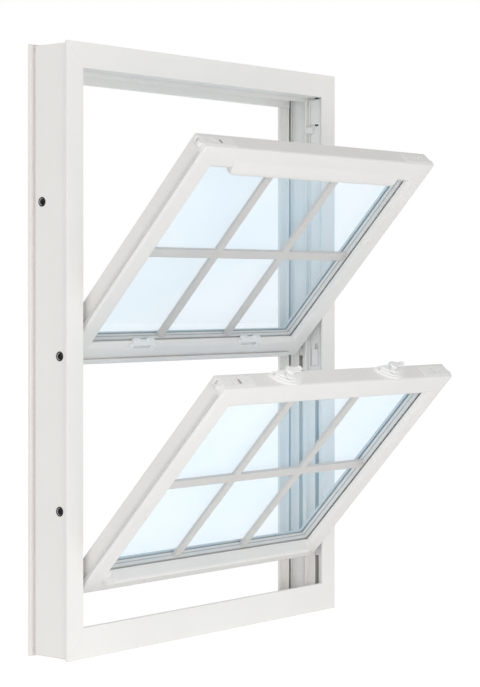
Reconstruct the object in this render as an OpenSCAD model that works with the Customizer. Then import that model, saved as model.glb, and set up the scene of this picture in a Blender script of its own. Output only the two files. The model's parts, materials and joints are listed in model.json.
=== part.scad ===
// Vinyl double-hung window with two sashes that lift and tilt in, drawn with both sashes tilted.
// X runs across from the middle, Y from the room face outward, Z up from the flange's lower edge.
// Every node is then shifted so that the origin is the middle of the flat seat under the frame.

/* [Overall size] */
// Width of the frame over its flange
frame_w = 650; // [560:5:760]
// Height of the frame over its flange
frame_h = 914; // [880:1:960]
// Depth of the frame from room face to outer fin
frame_d = 83; // [80:1:95]

/* [Frame profile] */
// Visible width of each jamb's face
jamb_face = 34; // [30:1:40]
// Visible height of the head's face
head_face = 38; // [34:1:44]
// Visible height of the sill's face
sill_face = 47; // [44:1:50]
// Overhang of the flange past the body
flange_lip = 3; // [2:0.5:5]
// Depth of each sash pocket behind the jamb's legs
pocket_depth = 8; // [5:0.5:10]
// Width of the slot that each pivot bar runs in
slot_w = 8; // [7.8:0.1:9]
// Width of the balance channel behind the slot
channel_w = 21; // [19:0.5:24]
// Height of the sill floor just behind its leg
sill_floor = 32; // [28:1:34]
// Drop of the sill floor from front to back
sill_fall = 12; // [6:1:16]
// Reach of the outer lip past each jamb's stop
outer_lip = 15; // [10:1:16]

/* [Sashes] */
// Gap between a sash's side and the jamb leg beside it
side_gap = 7; // [6.9:0.1:9]
// Height of each sash
sash_l = 427; // [420:1:430]
// Thickness of each sash
sash_t = 31; // [28:0.5:32]
// Width of each rail and stile
rail_w = 40; // [36:1:44]
// Room face of the lower sash when it is upright
lower_y = 5; // [5:0.5:6]
// Room face of the upper sash when it is upright
upper_y = 40; // [40:0.5:41]
// Tilt of both sashes from upright, as drawn
tilt = 42.5; // [42:0.5:44]
// Height of the pivot above the bottom of the sash
pivot_s = 14; // [12:0.5:16]
// Distance of the pivot behind the sash's room face
pivot_t = 14; // [12:0.5:16]
// Height of the lower sash's pivot, as drawn
lower_z = 112; // [100:1:130]
// Height of the upper sash's pivot, as drawn
upper_z = 454; // [440:1:454]

/* [Glass] */
// Thickness of each pane
pane_t = 3; // [2.5:0.1:4]
// Gap between the panes
gap_t = 12; // [10:0.5:13]
// Width of each grid bar
bar_w = 16; // [12:0.5:20]
// Thickness of each grid bar
bar_t = 5; // [4:0.5:8]

/* [Hardware] */
// Distance of each lock from the middle
lock_x = 130; // [110:1:150]
// Width of each lock's crescent base
lock_wide = 76; // [72:1:84]
// Length of each tilt latch's housing
latch_len = 74; // [70:1:80]
// Reach of each latch bolt past the sash side, as drawn
bolt_reach = 6.3; // [5:0.1:6.5]
// Half the length of the lift rail
lift_half = 248; // [200:1:250]
// Half the length of the pull rail
pull_half = 205; // [150:1:230]

/* [Hidden] */
hw = frame_w / 2;
sw = hw - jamb_face - side_gap;
sash_w = 2 * sw;
floor_u = jamb_face - pocket_depth;
leg_y = lower_y - 0.7;
stop_face = jamb_face + 4;
lip_t = 4.5;
cover_z = 408;
window_z = 417;
window_h = 38;
window_y = 14.6;
window_w = 15.8;
upper_cover_z = 480;
filler_z = 34;
filler_top = 128;
stop_z = 815;
chan_u = floor_u - 2;
lower_py = lower_y + pivot_t;
upper_py = upper_y + pivot_t;
part_y0 = lower_y + sash_t + 0.6;
part_y1 = upper_y - 0.6;
stop_y = upper_y + sash_t + 0.7;
glass_t0 = 8;
glass_t1 = glass_t0 + pane_t;
glass_t2 = glass_t1 + gap_t;
glass_t3 = glass_t2 + pane_t;
glass_w = 32.5;
space_w = 41;
mid_s = sash_l / 2;
grid_x = (sw - rail_w) / 3;
lower_coil_z = 424;
upper_coil_z = 653;
coil_h = 46;
coil_screw = 25;
screw_r = 2;
head_r = 5.2;
head_t = 2.4;
ribbon_gap = 22;
seat_y = 37.5;
seat_z = flange_lip;
bar_a = 6.4;
bar_b = 4;
bar_in = 26;
cam_r = 7.5;
seal_s0 = 24;
seal_end = 16;
seal_t = 6.4;
seal_reach = 2.5;
hook_end = 30;
keeper_w = 30;
latch_t0 = 4;
latch_t1 = 27;
latch_h = 12;
bolt_t0 = 9;
bolt_t1 = 22;
bolt_len = 41;
bolt_z = -8.4;
bolt_h = 7;
thumb_x = 29;
white = "WhiteSmoke";
grey = "Silver";
$fn = 48;

// ---- helpers ----

module place() {
  translate([0, -seat_y, -seat_z])
    children();
}

module along_x(len) {
  rotate([90, 0, 90])
    linear_extrude(len, center = true)
      children();
}

module along_y(y0, y1) {
  translate([0, y1, 0])
    rotate([90, 0, 0])
      linear_extrude(y1 - y0)
        children();
}

module box(a, b) {
  translate(a)
    cube(b - a);
}

module cyl_x(x0, x1, r) {
  translate([x0, 0, 0])
    rotate([0, 90, 0])
      cylinder(h = x1 - x0, r = r);
}

module flip(right) {
  if (right)
    mirror([1, 0, 0])
      children();
  else
    children();
}

// ---- frame ----

module jamb_outline() {
  polygon([[0, 0], [jamb_face - 0.8, 0], [jamb_face, 0.8],
    [jamb_face, leg_y], [floor_u, leg_y],
    [floor_u, lower_py - slot_w / 2], [chan_u, lower_py - slot_w / 2],
    [chan_u, lower_py - channel_w / 2], [8, lower_py - channel_w / 2],
    [8, lower_py + channel_w / 2], [chan_u, lower_py + channel_w / 2],
    [chan_u, lower_py + slot_w / 2], [floor_u, lower_py + slot_w / 2],
    [floor_u, part_y0], [jamb_face, part_y0],
    [jamb_face, part_y1], [floor_u, part_y1],
    [floor_u, upper_py - slot_w / 2], [chan_u, upper_py - slot_w / 2],
    [chan_u, upper_py - channel_w / 2], [8, upper_py - channel_w / 2],
    [8, upper_py + channel_w / 2], [chan_u, upper_py + channel_w / 2],
    [chan_u, upper_py + slot_w / 2], [floor_u, upper_py + slot_w / 2],
    [floor_u, stop_y], [stop_face, stop_y], [stop_face, frame_d - lip_t],
    [stop_face + outer_lip, frame_d - lip_t], [stop_face + outer_lip, frame_d],
    [0, frame_d], [0, frame_d - 5],
    [9, frame_d - 5], [9, frame_d - 13], [flange_lip, frame_d - 13],
    [flange_lip, 5], [0, 5]]);
}

module jamb_profile() {
  difference() {
    jamb_outline();
    translate([5.5, 2.2])
      square([17, 3.8]);
    translate([5.5, 32])
      square([18, 9]);
    polygon([[12, 67.2], [floor_u - 2.5, 67.2], [floor_u - 2.5, stop_y + 2.5],
      [stop_face - 2.5, stop_y + 2.5], [stop_face - 2.5, frame_d - 2.5], [12, frame_d - 2.5]]);
    translate([stop_face - 8.5, stop_y - 1])
      square([6, 5]);
  }
}

module sill_outline() {
  polygon([[0, 0.8], [0.8, 0], [5, 0], [5, flange_lip], [frame_d - 13, flange_lip],
    [frame_d - 13, 9], [frame_d - 5, 9], [frame_d - 5, 0], [frame_d, 0],
    [frame_d, sill_floor - sill_fall], [leg_y, sill_floor],
    [leg_y, sill_face], [0.8, sill_face], [0, sill_face - 0.8]]);
}

module head_outline() {
  polygon([[0, 0], [head_face - 0.8, 0], [head_face, 0.8], [head_face, leg_y],
    [head_face - 2, leg_y], [head_face - 2, part_y1],
    [head_face, part_y1], [head_face, stop_y], [head_face + 14, stop_y],
    [head_face + 14, frame_d], [0, frame_d], [0, frame_d - 5], [9, frame_d - 5],
    [9, frame_d - 13], [flange_lip, frame_d - 13], [flange_lip, 5], [0, 5]]);
}

module sill_ends() {
  along_y(-1, frame_d + 1)
    polygon([[-hw, 0], [hw, 0], [hw - jamb_face, sill_face], [-hw + jamb_face, sill_face]]);
}

module head_ends() {
  along_y(-1, frame_d + 1)
    polygon([[-hw, frame_h], [-hw + jamb_face, frame_h - head_face],
      [-hw + jamb_face, frame_h - head_face - 20], [hw - jamb_face, frame_h - head_face - 20],
      [hw - jamb_face, frame_h - head_face], [hw, frame_h]]);
}

module sill_space() {
  intersection() {
    sill_ends();
    along_x(frame_w + 2)
      polygon([[-1, -1], [frame_d + 1, -1], [frame_d + 1, sill_floor - sill_fall],
        [frame_d, sill_floor - sill_fall], [leg_y, sill_floor],
        [leg_y, sill_face], [-1, sill_face]]);
  }
}

module head_space() {
  intersection() {
    head_ends();
    along_x(frame_w + 2)
      polygon([[-1, frame_h + 1], [-1, frame_h - head_face],
        [stop_y, frame_h - head_face], [stop_y, frame_h - head_face - 14],
        [frame_d + 1, frame_h - head_face - 14], [frame_d + 1, frame_h + 1]]);
  }
}

module frame_head() {
  color(white)
    place()
      intersection() {
        head_ends();
        translate([0, 0, frame_h])
          mirror([0, 0, 1])
            along_x(frame_w + 2)
              difference() {
                mirror([1, -1, 0])
                  head_outline();
                translate([7, 6])
                  square([26, head_face - 11]);
                translate([36, 6])
                  square([31, head_face - 8.5]);
                translate([stop_y + 2.5, 12])
                  square([frame_d - stop_y - 5, head_face - 0.5]);
              }
      }
}

module frame_sill() {
  color(white)
    place()
      intersection() {
        sill_ends();
        along_x(frame_w + 2)
          difference() {
            sill_outline();
            polygon([[7, 6], [33, 6], [33, sill_floor - 7.5], [7, sill_floor - 3.5]]);
            polygon([[36, 6], [67, 6], [67, sill_floor - 12.5], [36, sill_floor - 8]]);
          }
      }
}

// Each screw's Y, Z and how far its shank runs in from the flange's edge.
screws = [[lower_py, 220, 7.7], [lower_py, lower_coil_z + coil_screw, 19],
  [upper_py + 2, upper_coil_z + coil_screw, 19]];

module jamb_body() {
  difference() {
    translate([-hw, 0, 0])
      linear_extrude(frame_h)
        jamb_profile();
    sill_space();
    head_space();
    for (p = screws)
      translate([0, p[0], p[1]]) {
        cyl_x(-hw + 1, -hw + flange_lip + head_t + 0.1, head_r + 0.2);
        cyl_x(-hw + 1, -hw + 9, screw_r + 0.1);
      }
  }
}

module jamb_left() {
  color(white)
    place()
      jamb_body();
}

module jamb_right() {
  color(white)
    place()
      flip(true)
        jamb_body();
}

module head_cover() {
  color(white)
    place()
      translate([0, 0, frame_h - head_face])
        along_x(2 * (hw - jamb_face) - 0.6)
          polygon([[leg_y, 0], [part_y1 - 2.6, 0], [part_y1 - 2.6, -6.2],
            [part_y1 - 1.8, -7], [part_y1 - 0.8, -7], [part_y1, -6.2],
            [part_y1, 2], [leg_y, 2]]);
}

module cover_strip(y, z0, z1) {
  difference() {
    box([-hw + floor_u, y + 0.5, z0], [-hw + floor_u + 2, y + 31, z1]);
    for (groove = [4, 26])
      box([-hw + floor_u + 1.2, y + groove, z0 - 1], [-hw + floor_u + 3, y + groove + 1.2, z1 + 1]);
  }
}

module jamb_cover() {
  difference() {
    cover_strip(lower_y, cover_z, frame_h - head_face - 2);
    box([-hw + floor_u - 1, window_y, window_z],
      [-hw + floor_u + 3, window_y + window_w, window_z + window_h]);
    box([-hw + floor_u - 1, window_y, stop_z + 13], [-hw + floor_u + 3, window_y + window_w, stop_z + 16]);
  }
}

module jamb_cover_left() {
  color(white)
    place()
      jamb_cover();
}

module jamb_cover_right() {
  color(white)
    place()
      flip(true)
        jamb_cover();
}

module track_fillers() {
  color(white)
    place()
      for (side = [false, true])
        flip(side)
          cover_strip(upper_y, filler_z, filler_top);
}

module upper_covers() {
  color(white)
    place()
      for (side = [false, true])
        flip(side)
          cover_strip(upper_y, upper_cover_z, frame_h - head_face - 2);
}

module sash_stops() {
  color(white)
    place()
      for (side = [false, true])
        flip(side)
          translate([-hw + floor_u + 2, 0, 0])
            along_y(24, 36.2)
              polygon([[0, stop_z], [4.5, stop_z], [5.5, stop_z + 1], [5.5, stop_z + 8],
                [3, stop_z + 12], [0, stop_z + 12]]);
}

module screw(reach) {
  difference() {
    union() {
      translate([-hw + flange_lip + 0.1, 0, 0])
        rotate([0, 90, 0])
          cylinder(h = head_t, r1 = head_r - 1, r2 = head_r);
      cyl_x(-hw + flange_lip + head_t, -hw + reach, screw_r);
    }
    for (a = [0, 90])
      rotate([a, 0, 0])
        box([-hw, -2.4, -0.5], [-hw + flange_lip + head_t / 2, 2.4, 0.5]);
  }
}

module jamb_screws() {
  color("DimGray")
    place()
      for (side = [false, true])
        flip(side)
          for (p = screws)
            translate([0, p[0], p[1]])
              screw(p[2]);
}

// ---- balances ----

module coil(py, z0, screw_y) {
  difference() {
    box([-hw + 8.3, py - 10, z0], [-hw + 23.6, py + 10, z0 + coil_h]);
    box([-hw + 10.3, py - 8, z0 - 1], [-hw + 21.6, py + 8, z0 + 20]);
    translate([0, screw_y, z0 + coil_screw])
      cyl_x(-hw + 8, -hw + 20, screw_r + 0.05);
  }
}

module lower_coils() {
  color(white)
    place()
      for (side = [false, true])
        flip(side)
          union() {
            coil(lower_py, lower_coil_z, screws[1][0]);
            box([-hw + 23.6, lower_py - 3.6, lower_coil_z + 2],
              [-hw + floor_u, lower_py + 3.6, lower_coil_z + 18]);
            box([-hw + floor_u, window_y + 0.4, window_z + 0.4],
              [-hw + floor_u + 2.6, window_y + 12.4, lower_coil_z + 22]);
          }
}

module upper_coils() {
  color(white)
    place()
      for (side = [false, true])
        flip(side)
          coil(upper_py, upper_coil_z, screws[2][0]);
}

module ribbons(py, z0, z1) {
  for (side = [false, true])
    flip(side)
      difference() {
        box([-hw + 15.6, py - 6, z0], [-hw + 16, py + 6, z1]);
        translate([0, py, z0 + 3])
          cyl_x(-hw + 15, -hw + 17, 1);
      }
}

module lower_ribbons() {
  color(grey)
    place()
      ribbons(lower_py, lower_z + ribbon_gap, lower_coil_z + 18);
}

module upper_ribbons() {
  color(grey)
    place()
      ribbons(upper_py, upper_z + ribbon_gap, upper_coil_z + 18);
}

module shoe(py, pz) {
  translate([0, py, pz])
    difference() {
      union() {
        box([-hw + 8.3, -10, -20], [-hw + 23.6, 10, 20]);
        box([-hw + 10.3, -7, 20], [-hw + 21.6, 7, ribbon_gap]);
      }
      cyl_x(-hw + 11.9, -hw + 24, cam_r + 0.05);
      box([-hw + 7, -10.5, -14], [-hw + 24, -8.6, -11]);
      box([-hw + 7, 8.6, -14], [-hw + 24, 10.5, -11]);
    }
}

module lower_shoe_left() {
  color(white)
    place()
      shoe(lower_py, lower_z);
}

module lower_shoe_right() {
  color(white)
    place()
      flip(true)
        shoe(lower_py, lower_z);
}

module upper_shoe_left() {
  color(white)
    place()
      shoe(upper_py, upper_z);
}

module upper_shoe_right() {
  color(white)
    place()
      flip(true)
        shoe(upper_py, upper_z);
}

// ---- sashes: X across, Y through the sash from its room face, Z up the sash ----

module on_sash(py, pz) {
  place()
    translate([0, py, pz])
      rotate([tilt, 0, 0])
        translate([0, -pivot_t, -pivot_s])
          children();
}

module on_lower() {
  on_sash(lower_py, lower_z)
    children();
}

module on_upper() {
  on_sash(upper_py, upper_z)
    children();
}

function sash_pts() = [[0, 4], [0.3, 2.5], [1.2, 1.2], [2.5, 0.3], [4, 0], [30.5, 0],
  [32.6, 0.4], [34.8, 1.5], [37.2, 3.4], [39, 5.4], [rail_w, 7.2], [rail_w, glass_t0],
  [31, glass_t0], [31, glass_t3], [30, glass_t3], [30, sash_t], [1.4, sash_t], [0, sash_t - 1.4]];

function room_pts() = [[3, 3], [28.2, 3], [28.2, 28], [3, 28]];

function bead_pts() = [[30, glass_t3], [rail_w + 0.6, glass_t3], [rail_w + 0.6, glass_t3 + 1],
  [rail_w - 2, sash_t], [30, sash_t]];

function swap(p) = [for (q = p) [q[1], q[0]]];

module rail_ends() {
  along_y(-20, sash_t + 20)
    polygon([[-sw, 0], [sw, 0], [sw - rail_w - 4, rail_w + 4], [-sw + rail_w + 4, rail_w + 4]]);
}

module stile_ends() {
  along_y(-20, sash_t + 20)
    polygon([[-sw, 0], [-sw + rail_w + 4, rail_w + 4],
      [-sw + rail_w + 4, sash_l - rail_w - 4], [-sw, sash_l]]);
}

module bottom_bar(outer, inner) {
  intersection() {
    rail_ends();
    along_x(sash_w)
      difference() {
        polygon(swap(outer));
        if (len(inner) > 0)
          polygon(swap(inner));
      }
  }
}

module top_bar(outer, inner) {
  translate([0, 0, sash_l])
    mirror([0, 0, 1])
      bottom_bar(outer, inner);
}

module side_bar(outer, inner) {
  intersection() {
    stile_ends();
    translate([-sw, 0, 0])
      linear_extrude(sash_l)
        difference() {
          polygon(outer);
          if (len(inner) > 0)
            polygon(inner);
        }
  }
}

module latch_pocket() {
  box([-sw - 1, latch_t0 - 0.1, sash_l - latch_h - 0.1],
    [-sw + latch_len + 0.1, latch_t1 + 0.1, sash_l + 5]);
}

module pivot_bar(x0, x1, gap) {
  box([x0, pivot_t - bar_b / 2 - gap, pivot_s - bar_a / 2 - gap],
    [x1, pivot_t + bar_b / 2 + gap, pivot_s + bar_a / 2 + gap]);
}

module both() {
  children();
  mirror([1, 0, 0])
    children();
}

module top_rail() {
  difference() {
    top_bar(sash_pts(), room_pts());
    both()
      latch_pocket();
  }
}

module bottom_rail() {
  difference() {
    bottom_bar(sash_pts(), room_pts());
    both()
      pivot_bar(-sw - 1, -sw + bar_in + 1, 0.1);
  }
}

module stile() {
  difference() {
    side_bar(sash_pts(), room_pts());
    latch_pocket();
    pivot_bar(-sw - 1, -sw + bar_in + 1, 0.1);
    box([-sw - 1, seal_t - 1.8, seal_s0], [-sw + 1.5, seal_t + 1.8, sash_l - seal_end]);
  }
}

module pane(t) {
  box([-sw + glass_w, t, glass_w], [sw - glass_w, t + pane_t, sash_l - glass_w]);
}

module spacer() {
  difference() {
    box([-sw + 34, glass_t1, 34], [sw - 34, glass_t2, sash_l - 34]);
    box([-sw + space_w, glass_t1 - 1, space_w], [sw - space_w, glass_t2 + 1, sash_l - space_w]);
  }
}

module grid() {
  m = (glass_t1 + glass_t2) / 2;
  box([-sw + space_w, m - bar_t / 2, mid_s - bar_w / 2], [sw - space_w, m + bar_t / 2, mid_s + bar_w / 2]);
  for (x = [-grid_x, grid_x])
    box([x - bar_w / 2, m - bar_t / 2, space_w], [x + bar_w / 2, m + bar_t / 2, sash_l - space_w]);
  for (x = [-grid_x, grid_x], z = [space_w, sash_l - space_w - 3])
    box([x - 5, m - 4.5, z], [x + 5, m + 4.5, z + 3]);
  for (x = [-sw + space_w, sw - space_w - 3])
    box([x, m - 4.5, mid_s - 5], [x + 3, m + 4.5, mid_s + 5]);
}

module beads() {
  bottom_bar(bead_pts(), []);
  top_bar(bead_pts(), []);
  both()
    side_bar(bead_pts(), []);
}

module seals() {
  both() {
    box([-sw, seal_t - 1.8, seal_s0], [-sw + 1.5, seal_t + 1.8, sash_l - seal_end]);
    box([-sw - seal_reach, seal_t - 0.6, seal_s0], [-sw, seal_t + 0.6, sash_l - seal_end]);
  }
}

// ---- latches ----

module latch() {
  translate([-sw, 0, sash_l])
    difference() {
      union() {
        box([0.2, latch_t0, -latch_h], [latch_len, latch_t1, 0]);
        box([3, latch_t0 + 2, 0], [latch_len - 3, latch_t1 - 2, 0.5]);
      }
      box([-1, bolt_t0 - 0.1, bolt_z - 0.1], [bolt_len + 6.6, bolt_t1 + 0.1, bolt_z + bolt_h + 0.1]);
      box([thumb_x - 6.5, bolt_t0 + 1.8, bolt_z + bolt_h - 1], [thumb_x + 16.6, bolt_t1 - 1.8, 3]);
    }
}

module bolt() {
  translate([-sw, 0, sash_l]) {
    translate([0, 0, bolt_z])
      linear_extrude(bolt_h)
        polygon([[bolt_len, bolt_t0], [-bolt_reach, bolt_t0], [-bolt_reach, bolt_t0 + 5],
          [2, bolt_t1], [bolt_len, bolt_t1]]);
    difference() {
      box([thumb_x, bolt_t0 + 2, bolt_z + bolt_h - 1], [thumb_x + 10, bolt_t1 - 2, 0.9]);
      for (groove = [2.5, 6.5])
        box([thumb_x + groove, bolt_t0, -0.2], [thumb_x + groove + 1.5, bolt_t1, 1]);
    }
  }
}

module pivot_bars() {
  both()
    pivot_bar(-hw + 14, -sw + bar_in, 0);
}

module cams() {
  both()
    difference() {
      translate([0, pivot_t, pivot_s])
        cyl_x(-hw + 12, -hw + 23.4, cam_r);
      pivot_bar(-hw + 13.9, -hw + 25, 0.05);
    }
}

// ---- lower sash nodes ----

module lower_top_rail() {
  color(white)
    on_lower() {
      top_rail();
      hook_down();
    }
}

module hook_down() {
  along_x(sash_w - 2 * hook_end)
    polygon([[sash_t, sash_l - 7], [sash_t + 3.4, sash_l - 7], [sash_t + 3.4, sash_l - 15],
      [sash_t + 2.2, sash_l - 15], [sash_t + 2.2, sash_l - 8.2], [sash_t, sash_l - 8.2]]);
}

module hook_up() {
  along_x(sash_w - 2 * hook_end)
    polygon([[1, 2.6], [-3.4, 2.6], [-3.4, 12], [-2.2, 12], [-2.2, 4], [1, 4]]);
}

module lower_bottom_rail() {
  color(white)
    on_lower()
      bottom_rail();
}

module lower_stile_left() {
  color(white)
    on_lower()
      stile();
}

module lower_stile_right() {
  color(white)
    on_lower()
      flip(true)
        stile();
}

module lower_glass_inner() {
  color("LightBlue")
    on_lower()
      pane(glass_t0);
}

module lower_glass_outer() {
  color("LightBlue")
    on_lower()
      pane(glass_t2);
}

module lower_spacer() {
  color(grey)
    on_lower()
      spacer();
}

module lower_grid() {
  color(white)
    on_lower()
      grid();
}

module lower_beads() {
  color(white)
    on_lower()
      beads();
}

module lower_latch_left() {
  color(white)
    on_lower()
      latch();
}

module lower_latch_right() {
  color(white)
    on_lower()
      flip(true)
        latch();
}

module lower_bolt_left() {
  color(white)
    on_lower()
      bolt();
}

module lower_bolt_right() {
  color(white)
    on_lower()
      flip(true)
        bolt();
}

// A shallow crescent whose round side faces the room, reach deep and wide across.
module crescent(wide, reach, h) {
  r = (wide * wide / 4 + reach * reach) / (2 * reach);
  intersection() {
    translate([0, r - reach, 0])
      cylinder(h = h, r = r, $fn = 96);
    translate([-wide / 2, -reach, -1])
      cube([wide, reach + 5, h + 2]);
  }
}

module lock_base(x) {
  translate([x, 22, sash_l])
    difference() {
      union() {
        crescent(lock_wide, 20.8, 3.2);
        crescent(lock_wide - 14, 16.5, 5.4);
        crescent(lock_wide - 30, 12, 7);
      }
      translate([0, 0, -1])
        cylinder(h = 10, r = 4.05);
      for (sx = [-30, 30])
        translate([sx, 0.5, 0.8])
          cylinder(h = 5, r = 2);
    }
}

module lock_lever(x) {
  translate([x, 22, sash_l]) {
    translate([0, 0, 0.4])
      cylinder(h = 8, r = 4);
    translate([0, 0, 7.1])
      cylinder(h = 3.4, r = 7.5);
    rotate([0, 0, 230])
      translate([0, 0, 7.1])
        linear_extrude(3.4)
          polygon([[0, -6], [14, -5], [17.4, -2], [17.4, 2], [14, 5], [0, 6]]);
    translate([0, 0, 10.5])
      cylinder(h = 2.8, r1 = 7.6, r2 = 6.8);
    translate([0, 0, 10.5])
      linear_extrude(2.8)
        polygon([[0, -6], [9, -4.4], [22, -3.6], [25, -2], [25, 2], [22, 3.6], [9, 4.4], [0, 6]]);
    translate([17, -3.6, 13])
      rotate([0, -12, 0])
        cube([7, 7.2, 1.6]);
  }
}

module lock_base_left() {
  color(white)
    on_lower()
      lock_base(-lock_x);
}

module lock_base_right() {
  color(white)
    on_lower()
      lock_base(lock_x);
}

module lock_lever_left() {
  color(white)
    on_lower()
      lock_lever(-lock_x);
}

module lock_lever_right() {
  color(white)
    on_lower()
      lock_lever(lock_x);
}

module lift_rail() {
  color(white)
    on_lower()
      difference() {
        along_x(2 * lift_half)
          polygon([[0, 21], [-3, 22], [-7.5, 24], [-10.6, 27], [-12, 30.5], [-11.6, 32.4], [-10.4, 34],
            [-8.6, 35.2], [-4, 36.6], [0, 37.8], [5.4, 39.4], [5.4, 39], [3.4, 37.2], [1.5, 34.8],
            [0.4, 32.6], [0, 30.5]]);
        both()
          translate([-lift_half, 9, 40])
            rotate([90, 0, 0])
              cylinder(h = 25, r = 13);
      }
}

module lower_pivot_bars() {
  color(grey)
    on_lower()
      pivot_bars();
}

module lower_cams() {
  color("Gray")
    on_lower()
      cams();
}

module lower_seals() {
  color("Gainsboro")
    on_lower()
      seals();
}

// ---- upper sash nodes ----

module upper_top_rail() {
  color(white)
    on_upper()
      top_rail();
}

module upper_bottom_rail() {
  color(white)
    on_upper()
      difference() {
        union() {
          bottom_rail();
          hook_up();
        }
        for (x = [-lock_x, lock_x])
          box([x - keeper_w - 0.2, -5, 25.8], [x + keeper_w + 0.2, 7, rail_w + 5]);
      }
}

module upper_stile_left() {
  color(white)
    on_upper()
      stile();
}

module upper_stile_right() {
  color(white)
    on_upper()
      flip(true)
        stile();
}

module upper_glass_inner() {
  color("LightBlue")
    on_upper()
      pane(glass_t0);
}

module upper_glass_outer() {
  color("LightBlue")
    on_upper()
      pane(glass_t2);
}

module upper_spacer() {
  color(grey)
    on_upper()
      spacer();
}

module upper_grid() {
  color(white)
    on_upper()
      grid();
}

module upper_beads() {
  color(white)
    on_upper()
      beads();
}

module upper_latch_left() {
  color(white)
    on_upper()
      latch();
}

module upper_latch_right() {
  color(white)
    on_upper()
      flip(true)
        latch();
}

module upper_bolt_left() {
  color(white)
    on_upper()
      bolt();
}

module upper_bolt_right() {
  color(white)
    on_upper()
      flip(true)
        bolt();
}

module keeper(x) {
  translate([x, 0, 0])
    difference() {
      union() {
        box([-keeper_w, 0.2, 26], [keeper_w, 7, 39]);
        along_y(0.2, 6.6)
          polygon([[-25, 39], [25, 39], [25, 43], [22, 46], [9, 46], [6, 43.5], [-6, 43.5],
            [-9, 46], [-22, 46], [-25, 43]]);
      }
      box([-20, -1, 28.6], [20, 6, 35.6]);
      for (sx = [-26.4, 26.4])
        translate([sx, -1, 32])
          rotate([-90, 0, 0])
            cylinder(h = 3, r = 1.8);
    }
}

module lock_keepers() {
  color(white)
    on_upper() {
      keeper(-lock_x);
      keeper(lock_x);
    }
}

module pull_rail() {
  color(white)
    on_upper()
      translate([0, 0, sash_l])
        mirror([0, 0, 1])
          intersection() {
            along_x(2 * pull_half)
              polygon([[0, 21], [-0.5, 24.5], [-1.4, 28.5], [-2.5, 32.5], [-3.4, 36.5], [-3.7, 40],
                [-3.4, 43], [-2.4, 45.6], [-0.6, 47.2], [2, 47.2], [4, 46.4], [4.8, 44],
                [4.8, rail_w + 0.1], [5.4, 39], [3.4, 37.2], [1.5, 34.8], [0.4, 32.6], [0, 30.5]]);
            along_y(-6, 8)
              polygon([[-pull_half, 20], [pull_half, 20], [pull_half, 38], [pull_half - 3, 43.5],
                [pull_half - 8.5, 46.5], [pull_half - 14, 48], [-pull_half + 14, 48],
                [-pull_half + 8.5, 46.5], [-pull_half + 3, 43.5], [-pull_half, 38]]);
          }
}

module upper_pivot_bars() {
  color(grey)
    on_upper()
      pivot_bars();
}

module upper_cams() {
  color("Gray")
    on_upper()
      cams();
}

module upper_seals() {
  color("Gainsboro")
    on_upper()
      seals();
}

frame_head();
frame_sill();
jamb_left();
jamb_right();
head_cover();
jamb_cover_left();
jamb_cover_right();
upper_covers();
track_fillers();
sash_stops();
jamb_screws();
lower_coils();
upper_coils();
lower_ribbons();
upper_ribbons();
lower_shoe_left();
lower_shoe_right();
upper_shoe_left();
upper_shoe_right();
lower_top_rail();
lower_bottom_rail();
lower_stile_left();
lower_stile_right();
lower_glass_inner();
lower_glass_outer();
lower_spacer();
lower_grid();
lower_beads();
lower_latch_left();
lower_latch_right();
lower_bolt_left();
lower_bolt_right();
lock_base_left();
lock_base_right();
lock_lever_left();
lock_lever_right();
lift_rail();
lower_pivot_bars();
lower_cams();
lower_seals();
upper_top_rail();
upper_bottom_rail();
upper_stile_left();
upper_stile_right();
upper_glass_inner();
upper_glass_outer();
upper_spacer();
upper_grid();
upper_beads();
upper_latch_left();
upper_latch_right();
upper_bolt_left();
upper_bolt_right();
lock_keepers();
pull_rail();
upper_pivot_bars();
upper_cams();
upper_seals();
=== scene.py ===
"""A white vinyl double-hung window with both sashes tilted in, on a plain pale floor in soft light."""

import json
import math

import bmesh
import bpy
from mathutils import Matrix, Vector


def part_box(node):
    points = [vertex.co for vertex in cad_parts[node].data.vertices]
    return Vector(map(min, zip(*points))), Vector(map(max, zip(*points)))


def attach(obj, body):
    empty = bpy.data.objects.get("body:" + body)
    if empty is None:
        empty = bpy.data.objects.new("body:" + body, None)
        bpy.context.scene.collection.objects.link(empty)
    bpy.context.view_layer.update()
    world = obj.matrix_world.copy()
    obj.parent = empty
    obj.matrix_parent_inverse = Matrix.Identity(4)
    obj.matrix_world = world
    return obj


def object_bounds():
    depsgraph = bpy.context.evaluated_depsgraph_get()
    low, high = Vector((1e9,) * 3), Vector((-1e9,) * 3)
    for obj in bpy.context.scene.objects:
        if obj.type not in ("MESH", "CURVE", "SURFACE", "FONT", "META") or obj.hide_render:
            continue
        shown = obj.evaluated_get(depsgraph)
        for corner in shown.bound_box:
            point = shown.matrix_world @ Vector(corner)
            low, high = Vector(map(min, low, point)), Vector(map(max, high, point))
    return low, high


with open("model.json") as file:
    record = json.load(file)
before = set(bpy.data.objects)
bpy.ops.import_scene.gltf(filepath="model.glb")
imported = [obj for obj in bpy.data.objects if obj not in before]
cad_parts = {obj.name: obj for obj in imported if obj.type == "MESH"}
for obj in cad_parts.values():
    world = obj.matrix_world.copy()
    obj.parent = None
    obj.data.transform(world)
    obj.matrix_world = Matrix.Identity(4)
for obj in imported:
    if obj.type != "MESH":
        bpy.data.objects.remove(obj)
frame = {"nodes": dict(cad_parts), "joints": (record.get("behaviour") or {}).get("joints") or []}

cad_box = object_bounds()
MM = 0.001


# ---- places, from the frame ----

JOINTS = {joint["name"]: joint for joint in frame["joints"]}
TILT = math.radians(-JOINTS["lower_tilt"]["range_deg"][0])
PIVOT_S = 14 * MM  # height of the pivot above the bottom of its sash
PIVOT_T = 14 * MM  # distance of the pivot behind the sash's room face
SASH_L = 427 * MM


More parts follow.
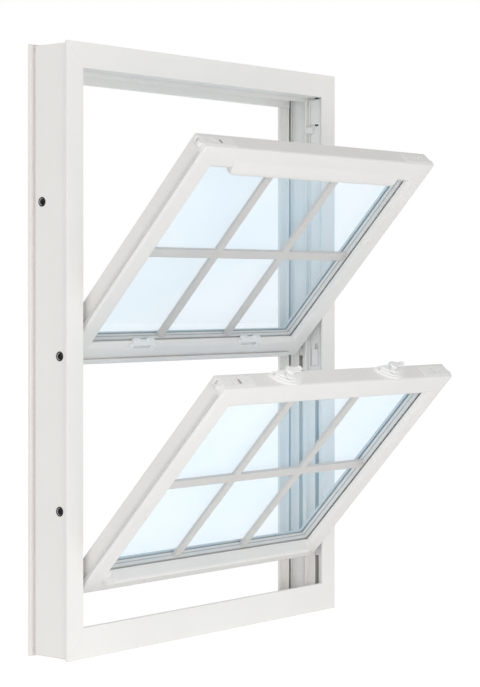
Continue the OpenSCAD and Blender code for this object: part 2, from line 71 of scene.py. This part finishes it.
def sash_matrix(which):
    """Sash coordinates (X across, Y through from the room face, Z up the sash) to the row frame."""
    pivot = Vector(JOINTS[which + "_tilt"]["pos_m"])
    turn = Matrix.Rotation(TILT, 4, "X")
    return Matrix.Translation(pivot) @ turn @ Matrix.Translation((0, -PIVOT_T, -PIVOT_S))


FLOOR_LEVEL = cad_box[0].z - 0.2 * MM
SASH_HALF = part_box("lower_top_rail")[1].x


# ---- materials ----

# How fine each noise is, in patterns per metre.
COLOUR_DRIFT = 9
GLOSS_SMEAR = 160
DIE_LINES = 420
PLASTIC_GRAIN = 1500
METAL_GRAIN = 700
GLASS_CLOUD = 4.5
GLASS_RIPPLE = 14
PILE_TUFT = 1300
FLOOR_CLOUD = 3
SURFACE_DEPTH = 0.2 * MM


def new_material(name):
    mat = bpy.data.materials.new(name)
    mat.use_nodes = True
    return mat, mat.node_tree.nodes, mat.node_tree.links


def object_coordinates(nodes, links, turn=0.0, stretch=(1, 1, 1)):
    """Object coordinates turned about X, then scaled, so that a noise can follow a tilted bar."""
    place = nodes.new("ShaderNodeTexCoord")
    turned = nodes.new("ShaderNodeVectorRotate")
    turned.rotation_type = "X_AXIS"
    turned.inputs["Angle"].default_value = turn
    links.new(place.outputs["Object"], turned.inputs["Vector"])
    scaled = nodes.new("ShaderNodeVectorMath")
    scaled.operation = "MULTIPLY"
    scaled.inputs[1].default_value = stretch
    links.new(turned.outputs["Vector"], scaled.inputs[0])
    return scaled.outputs["Vector"]


def noise(nodes, links, vector, scale, detail=2.0, roughness=0.5):
    node = nodes.new("ShaderNodeTexNoise")
    node.inputs["Scale"].default_value = scale
    node.inputs["Detail"].default_value = detail
    node.inputs["Roughness"].default_value = roughness
    links.new(vector, node.inputs["Vector"])
    return node.outputs["Fac"]


def ramp(nodes, links, value, low, high, start=0.3, end=0.7):
    node = nodes.new("ShaderNodeValToRGB")
    first, last = node.color_ramp.elements
    first.position, last.position = start, end
    first.color, last.color = (*low, 1), (*high, 1)
    links.new(value, node.inputs["Fac"])
    return node.outputs["Color"]


def spread(nodes, links, value, low, high):
    node = nodes.new("ShaderNodeMapRange")
    node.inputs["To Min"].default_value = low
    node.inputs["To Max"].default_value = high
    links.new(value, node.inputs["Value"])
    return node.outputs["Result"]


def bump(nodes, links, height, strength, distance):
    node = nodes.new("ShaderNodeBump")
    node.inputs["Strength"].default_value = strength
    node.inputs["Distance"].default_value = distance
    links.new(height, node.inputs["Height"])
    return node.outputs["Normal"]


def plastic(name, low, high, rough, along="Z", turn=0.0, streak=0.35, grain=0.12):
    """Satin plastic: faint colour drift, die lines along the extrusion and a fine grain."""
    mat, nodes, links = new_material(name)
    shader = nodes["Principled BSDF"]
    stretch = {"X": (0.02, 1, 1), "Z": (1, 1, 0.02), "": (1, 1, 1)}[along]
    even = object_coordinates(nodes, links)
    lines = object_coordinates(nodes, links, -turn, stretch)
    drift = noise(nodes, links, even, COLOUR_DRIFT, 3)
    links.new(ramp(nodes, links, drift, low, high), shader.inputs["Base Color"])
    smear = noise(nodes, links, lines, GLOSS_SMEAR, 3)
    links.new(spread(nodes, links, smear, *rough), shader.inputs["Roughness"])
    die = bump(nodes, links, noise(nodes, links, lines, DIE_LINES, 2), streak, SURFACE_DEPTH)
    fine = nodes.new("ShaderNodeBump")
    fine.inputs["Strength"].default_value = grain
    fine.inputs["Distance"].default_value = SURFACE_DEPTH
    links.new(noise(nodes, links, even, PLASTIC_GRAIN, 2), fine.inputs["Height"])
    links.new(die, fine.inputs["Normal"])
    links.new(fine.outputs["Normal"], shader.inputs["Normal"])
    shader.inputs["IOR"].default_value = 1.48
    shader.inputs["Specular IOR Level"].default_value = 0.42
    return mat


def glass_material(name, low, high, opacity, glow=0.0):
    """See-through glass, a little bluer in soft patches, with a faint mirror and an optional glow of its
    own tint: painted light, a pane that glows though it is no lamp.
    """
    mat, nodes, links = new_material(name)
    shader = nodes["Principled BSDF"]
    place = object_coordinates(nodes, links)
    cloud = noise(nodes, links, place, GLASS_CLOUD, 2.5, 0.45)
    tint = ramp(nodes, links, cloud, low, high, 0.36, 0.62)
    links.new(tint, shader.inputs["Base Color"])
    # Painted light: the pane emits its own tint, glowing though it is no lamp.
    links.new(tint, shader.inputs["Emission Color"])
    shader.inputs["Emission Strength"].default_value = glow
    links.new(spread(nodes, links, cloud, *opacity), shader.inputs["Alpha"])
    shader.inputs["Roughness"].default_value = 0.03
    ripple = bump(nodes, links, noise(nodes, links, place, GLASS_RIPPLE), 0.02, MM)
    links.new(ripple, shader.inputs["Normal"])
    mirror = nodes.new("ShaderNodeBsdfGlossy")
    mirror.inputs["Roughness"].default_value = 0.02
    links.new(ripple, mirror.inputs["Normal"])
    edge_on = nodes.new("ShaderNodeLayerWeight")
    edge_on.inputs["Blend"].default_value = 0.25
    mix = nodes.new("ShaderNodeMixShader")
    links.new(spread(nodes, links, edge_on.outputs["Facing"], 0.005, 0.085), mix.inputs["Fac"])
    links.new(shader.outputs["BSDF"], mix.inputs[1])
    links.new(mirror.outputs["BSDF"], mix.inputs[2])
    links.new(mix.outputs["Shader"], nodes["Material Output"].inputs["Surface"])
    return mat


def metal(name, low, high, rough, along="X", metallic=1.0):
    """Brushed or plain metal with a fine grain that follows one direction."""
    mat, nodes, links = new_material(name)
    shader = nodes["Principled BSDF"]
    stretch = {"X": (0.04, 1, 1), "": (1, 1, 1)}[along]
    lines = object_coordinates(nodes, links, 0.0, stretch)
    grain = noise(nodes, links, lines, METAL_GRAIN, 3)
    links.new(ramp(nodes, links, grain, low, high), shader.inputs["Base Color"])
    links.new(spread(nodes, links, grain, *rough), shader.inputs["Roughness"])
    links.new(bump(nodes, links, grain, 0.15, SURFACE_DEPTH), shader.inputs["Normal"])
    shader.inputs["Metallic"].default_value = metallic
    return mat


def pile_material(name, low, high):
    """Short woven pile of a weatherstrip."""
    mat, nodes, links = new_material(name)
    shader = nodes["Principled BSDF"]
    place = object_coordinates(nodes, links)
    tuft = noise(nodes, links, place, PILE_TUFT, 4, 0.7)
    links.new(ramp(nodes, links, tuft, low, high), shader.inputs["Base Color"])
    links.new(bump(nodes, links, tuft, 0.8, 0.6 * MM), shader.inputs["Normal"])
    shader.inputs["Roughness"].default_value = 0.9
    shader.inputs["Sheen Weight"].default_value = 0.4
    return mat


VINYL_LOW = (0.80, 0.785, 0.765)
VINYL_HIGH = (0.83, 0.815, 0.795)
# The frame's colours are the sash vinyl made a shade lighter: painted light for the brighter tone the
# frame shows.
FRAME_LIT_LOW = (0.865, 0.85, 0.825)
FRAME_LIT_HIGH = (0.89, 0.875, 0.85)
VINYL_ROUGH = (0.34, 0.46)

vinyl_x = plastic("vinyl_x", VINYL_LOW, VINYL_HIGH, VINYL_ROUGH, "X")
vinyl_z = plastic("vinyl_z", VINYL_LOW, VINYL_HIGH, VINYL_ROUGH, "Z")
# Lighter copies of the vinyl for the frame: painted light.
lit_frame_x = plastic("lit_frame_x", FRAME_LIT_LOW, FRAME_LIT_HIGH, VINYL_ROUGH, "X")
lit_frame_z = plastic("lit_frame_z", FRAME_LIT_LOW, FRAME_LIT_HIGH, VINYL_ROUGH, "Z")
vinyl_tilt = plastic("vinyl_tilt", VINYL_LOW, VINYL_HIGH, VINYL_ROUGH, "Z", TILT)
moulded = plastic("moulded", (0.84, 0.835, 0.82), (0.87, 0.865, 0.85), (0.24, 0.34), "", 0, 0.1, 0.1)
lock_paint = plastic("lock_paint", (0.87, 0.87, 0.86), (0.9, 0.9, 0.89), (0.2, 0.32), "", 0, 0.25, 0.3)
# The outer pane glows at 0.36 with its blue tint: painted light that lifts it to a sky tone.
sky_pane = glass_material("sky_pane", (0.28, 0.70, 1.0), (0.42, 0.78, 1.0), (0.15, 0.10), 0.36)
clear_pane = glass_material("clear_pane", (0.86, 0.93, 0.95), (0.92, 0.96, 0.97), (0.02, 0.012))
mill_aluminium = metal(
    "mill_aluminium", (0.76, 0.755, 0.74), (0.84, 0.835, 0.82), (0.35, 0.5), "X", metallic=0.15)
# The grid's white paint is given as a darker, warmer grey: its paint plus painted shade, warmed to offset
# the blue glow of the outer pane.
bar_paint_and_shade = plastic("bar_paint_and_shade", (0.65, 0.63, 0.61), (0.69, 0.67, 0.65), (0.3, 0.42), "", 0, 0.1, 0.15)
butyl = plastic("butyl", (0.10, 0.10, 0.10), (0.16, 0.16, 0.16), (0.5, 0.7), "", 0, 0.1, 0.4)
seam_grey = plastic("seam_grey", (0.30, 0.30, 0.30), (0.36, 0.36, 0.36), (0.4, 0.5), "", 0, 0.1, 0.2)
collar_black = plastic("collar_black", (0.015, 0.015, 0.016), (0.03, 0.03, 0.032), (0.35, 0.5), "", 0, 0.1, 0.3)
zinc = metal("zinc", (0.5, 0.5, 0.5), (0.62, 0.62, 0.61), (0.28, 0.42), "")
black_zinc = metal("black_zinc", (0.02, 0.02, 0.022), (0.05, 0.05, 0.052), (0.25, 0.4), "")
pile = pile_material("pile", (0.55, 0.55, 0.53), (0.74, 0.74, 0.72))

SLOT_MATERIALS = {
    "vinyl": vinyl_z, "moulded_white": moulded, "lock_white": lock_paint, "glass": sky_pane,
    "spacer_grey": mill_aluminium, "grid_white": bar_paint_and_shade, "steel": zinc,
    "screw_steel": black_zinc, "pile": pile,
}
RAILS = ("head_cover", "lift_rail", "pull_rail", "top_rail", "bottom_rail")


def finish_for(name, slot_name):
    if name.endswith("glass_inner"):
        return clear_pane
    if slot_name != "vinyl":
        return SLOT_MATERIALS[slot_name]
    # The frame's head, sill and jambs get the lighter vinyl copies, which are painted light.
    if name in ("frame_head", "frame_sill"):
        return lit_frame_x
    if name in ("jamb_left", "jamb_right"):
        return lit_frame_z
    if name.endswith(RAILS):
        return vinyl_x
    if "stile" in name or "beads" in name:
        return vinyl_tilt
    return vinyl_z


def paint_frame():
    for name, obj in frame["nodes"].items():
        slot_name = obj.data.materials[0].name.split(".")[0]
        obj.material_slots[0].material = finish_for(name, slot_name)


# ---- softened edges on the CAD nodes ----

# Words in the names of the nodes that stay as they are, and of those that get the finer edge.
SHARP = ("glass", "ribbons", "seals")
FINE = ("latch", "bolt", "lock", "keepers", "shoe", "cams", "screws", "grid", "spacer", "coils", "pivot")

PLAIN_EDGE = 0.5 * MM
FINE_EDGE = 0.25 * MM
SHARPEST_TURN = math.radians(35)  # edges that turn by more than this are rounded
JOIN_WITHIN = 0.01 * MM


def soften(obj, width):
    """Joins the split corners and rounds every sharp edge."""
    weld = obj.modifiers.new("join", "WELD")
    weld.merge_threshold = JOIN_WITHIN
    edge = obj.modifiers.new("edge", "BEVEL")
    edge.width = width
    edge.segments = 2
    edge.limit_method = "ANGLE"
    edge.angle_limit = SHARPEST_TURN
    edge.loop_slide = False
    even = obj.modifiers.new("even", "WEIGHTED_NORMAL")
    even.keep_sharp = False


def soften_frame():
    for name, obj in frame["nodes"].items():
        if any(word in name for word in SHARP):
            continue
        soften(obj, FINE_EDGE if any(word in name for word in FINE) else PLAIN_EDGE)


# ---- small pieces that the CAD leaves out ----

def add_piece(name, shape, material, body, matrix=Matrix()):
    """Turns a bmesh into a piece that rides on a body."""
    bmesh.ops.recalc_face_normals(shape, faces=shape.faces)
    mesh = bpy.data.meshes.new(name)
    shape.to_mesh(mesh)
    shape.free()
    mesh.transform(matrix)
    mesh.materials.append(material)
    piece = bpy.data.objects.new(name, mesh)
    bpy.context.scene.collection.objects.link(piece)
    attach(piece, body)
    return piece


def pane_ring(shape, inset, depth, t0, t1):
    """A thin four-sided ring just inside the spacer, in sash coordinates."""
    loops = []
    for t in (t0, t1):
        for edge in (inset, inset + depth):
            x = SASH_HALF - edge
            corners = ((-x, edge), (x, edge), (x, SASH_L - edge), (-x, SASH_L - edge))
            loops.append([shape.verts.new((cx, t, cs)) for cx, cs in corners])
    front_out, front_in, back_out, back_in = loops
    section = ((front_out, front_in), (front_in, back_in), (back_in, back_out), (back_out, front_out))
    for one, other in section:
        for i in range(4):
            j = (i + 1) % 4
            shape.faces.new((one[i], one[j], other[j], other[i]))


SPACER_EDGE = 41 * MM  # from the sash's edge to the spacer's inner face
PANE_GAP = (11 * MM, 23 * MM)  # from the sash's room face to the two sides of the gap
BEAD = 0.5 * MM
BEAD_DEPTH = 0.4 * MM
SEAM = 1.0 * MM
SEAM_DEPTH = 0.2 * MM


def add_pane_edges():
    """The dark sealant line beside each outer pane and the folded seam in the middle of the spacer."""
    near, far = PANE_GAP
    middle = (near + far) / 2
    for which in ("lower", "upper"):
        black = bmesh.new()
        pane_ring(black, SPACER_EDGE, BEAD_DEPTH, far - BEAD, far)
        add_piece(which + "_sealant", black, butyl, which + "_sash", sash_matrix(which))
        seam = bmesh.new()
        pane_ring(seam, SPACER_EDGE, SEAM_DEPTH, middle - SEAM / 2, middle + SEAM / 2)
        add_piece(which + "_spacer_seam", seam, seam_grey, which + "_sash", sash_matrix(which))


# Y and Z of the three screws in each jamb.
SCREW_PLACES = ((-18.5 * MM, 217 * MM), (-18.5 * MM, 446 * MM), (18.5 * MM, 675 * MM))
JAMB_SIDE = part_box("jamb_right")[1].x - 3 * MM
COLLAR = ((5.5, 0), (7.3, 0), (7.1, 0.5), (6.6, 0.8), (6.0, 0.7), (5.5, 0.3))  # radius, height in mm
COLLAR_SIDES = 40


def turned_ring(shape, centre, side):
    """Turns the collar's section about an X axis through the centre."""
    loops = []
    for step in range(COLLAR_SIDES):
        angle = step / COLLAR_SIDES * math.tau
        loops.append([shape.verts.new((centre.x + side * h * MM, centre.y + r * MM * math.cos(angle),
                                       centre.z + r * MM * math.sin(angle))) for r, h in COLLAR])
    for step, loop in enumerate(loops):
        other = loops[(step + 1) % COLLAR_SIDES]
        for i in range(len(COLLAR)):
            j = (i + 1) % len(COLLAR)
            shape.faces.new((loop[i], loop[j], other[j], other[i]))


def add_screw_collars():
    """A near-black ring round each screw's hole in the jambs, which widens each screw's dark dot."""
    shape = bmesh.new()
    for side in (-1, 1):
        for y, z in SCREW_PLACES:
            turned_ring(shape, Vector((side * JAMB_SIDE, y, z)), side)
    collars = add_piece("screw_collars", shape, collar_black, "frame")
    collars.data.shade_smooth()


# ---- camera, floor and light ----

CAMERA_PLACE = (-2.392, -2.0899, 0.5432)
CAMERA_HEADING = -50.189  # degrees, level
CAMERA_LENS = 103.64
CAMERA_SHIFT = -0.0772


def add_camera():
    data = bpy.data.cameras.new("camera")
    data.sensor_width = 36
    data.lens = CAMERA_LENS
    data.shift_y = CAMERA_SHIFT
    data.clip_end = 100
    camera = bpy.data.objects.new("camera", data)
    camera.location = CAMERA_PLACE
    camera.rotation_euler = (math.radians(90), 0, math.radians(CAMERA_HEADING))
    bpy.context.scene.collection.objects.link(camera)
    bpy.context.scene.camera = camera


FLOOR_LOW, FLOOR_HIGH = (0.72, 0.72, 0.72), (0.75, 0.75, 0.75)
FLOOR_RADIUS = 30
FLOOR_BOUNCE = 0.38  # glow that lights the window from below
FLOOR_SEEN = 0.6  # glow that makes the floor read as plain white


def add_floor():
    """A wide round pale floor."""
    mesh = bpy.data.meshes.new("floor")
    shape = bmesh.new()
    bmesh.ops.create_circle(shape, cap_ends=True, radius=FLOOR_RADIUS, segments=96)
    shape.to_mesh(mesh)
    shape.free()
    floor = bpy.data.objects.new("floor", mesh)
    floor.location.z = FLOOR_LEVEL
    bpy.context.scene.collection.objects.link(floor)
    mat, nodes, links = new_material("floor")
    shader = nodes["Principled BSDF"]
    place = object_coordinates(nodes, links)
    cloud = noise(nodes, links, place, FLOOR_CLOUD)
    links.new(ramp(nodes, links, cloud, FLOOR_LOW, FLOOR_HIGH), shader.inputs["Base Color"])
    shader.inputs["Roughness"].default_value = 0.9
    shader.inputs["Emission Color"].default_value = (1, 1, 1, 1)
    path = nodes.new("ShaderNodeLightPath")
    links.new(spread(nodes, links, path.outputs["Is Camera Ray"], FLOOR_BOUNCE, FLOOR_SEEN),
              shader.inputs["Emission Strength"])
    mesh.materials.append(mat)


def add_area(name, place, aim, size, power):
    data = bpy.data.lights.new(name, "AREA")
    data.shape = "RECTANGLE"
    data.size, data.size_y = size
    data.energy = power
    light = bpy.data.objects.new(name, data)
    light.location = place
    light.rotation_euler = (Vector(aim) - Vector(place)).to_track_quat("-Z", "Y").to_euler()
    bpy.context.scene.collection.objects.link(light)


WORLD_FROM = Vector((-0.775, -0.632, 0))  # the bright side of the studio: the room side, to the left
WORLD_GLOW = (0.22, 1.0)  # strength on the far side and on the bright side


def add_world(weakest, strongest):
    """Soft light from all round, stronger from one side, seen by the camera as plain white."""
    world = bpy.data.worlds.new("studio")
    world.use_nodes = True
    nodes, links = world.node_tree.nodes, world.node_tree.links
    glow = nodes["Background"]
    glow.inputs["Color"].default_value = (1, 1, 1, 1)
    place = nodes.new("ShaderNodeTexCoord")
    side = nodes.new("ShaderNodeVectorMath")
    side.operation = "DOT_PRODUCT"
    side.inputs[1].default_value = WORLD_FROM
    links.new(place.outputs["Generated"], side.inputs[0])
    fade = nodes.new("ShaderNodeMapRange")
    fade.inputs["From Min"].default_value = -1
    fade.inputs["To Min"].default_value = weakest
    fade.inputs["To Max"].default_value = strongest
    links.new(side.outputs["Value"], fade.inputs["Value"])
    links.new(fade.outputs["Result"], glow.inputs["Strength"])
    seen = nodes.new("ShaderNodeBackground")
    seen.inputs["Color"].default_value = (1, 1, 1, 1)
    path = nodes.new("ShaderNodeLightPath")
    mix = nodes.new("ShaderNodeMixShader")
    links.new(path.outputs["Is Camera Ray"], mix.inputs["Fac"])
    links.new(glow.outputs["Background"], mix.inputs[1])
    links.new(seen.outputs["Background"], mix.inputs[2])
    links.new(mix.outputs["Shader"], nodes["World Output"].inputs["Surface"])
    bpy.context.scene.world = world


KEY_PLACE = (-0.9, -1.8, 0.1)
KEY_AIM = (-0.3, 0, 0.3)
KEY_SIZE = (1.0, 1.0)
KEY_POWER = 11.6


def light_scene():
    add_world(*WORLD_GLOW)
    add_area("key", KEY_PLACE, KEY_AIM, KEY_SIZE, KEY_POWER)
    view = bpy.context.scene.view_settings
    view.view_transform = "Standard"
    view.look = "None"


paint_frame()
soften_frame()
add_pane_edges()
add_screw_collars()
add_camera()
add_floor()
light_scene()
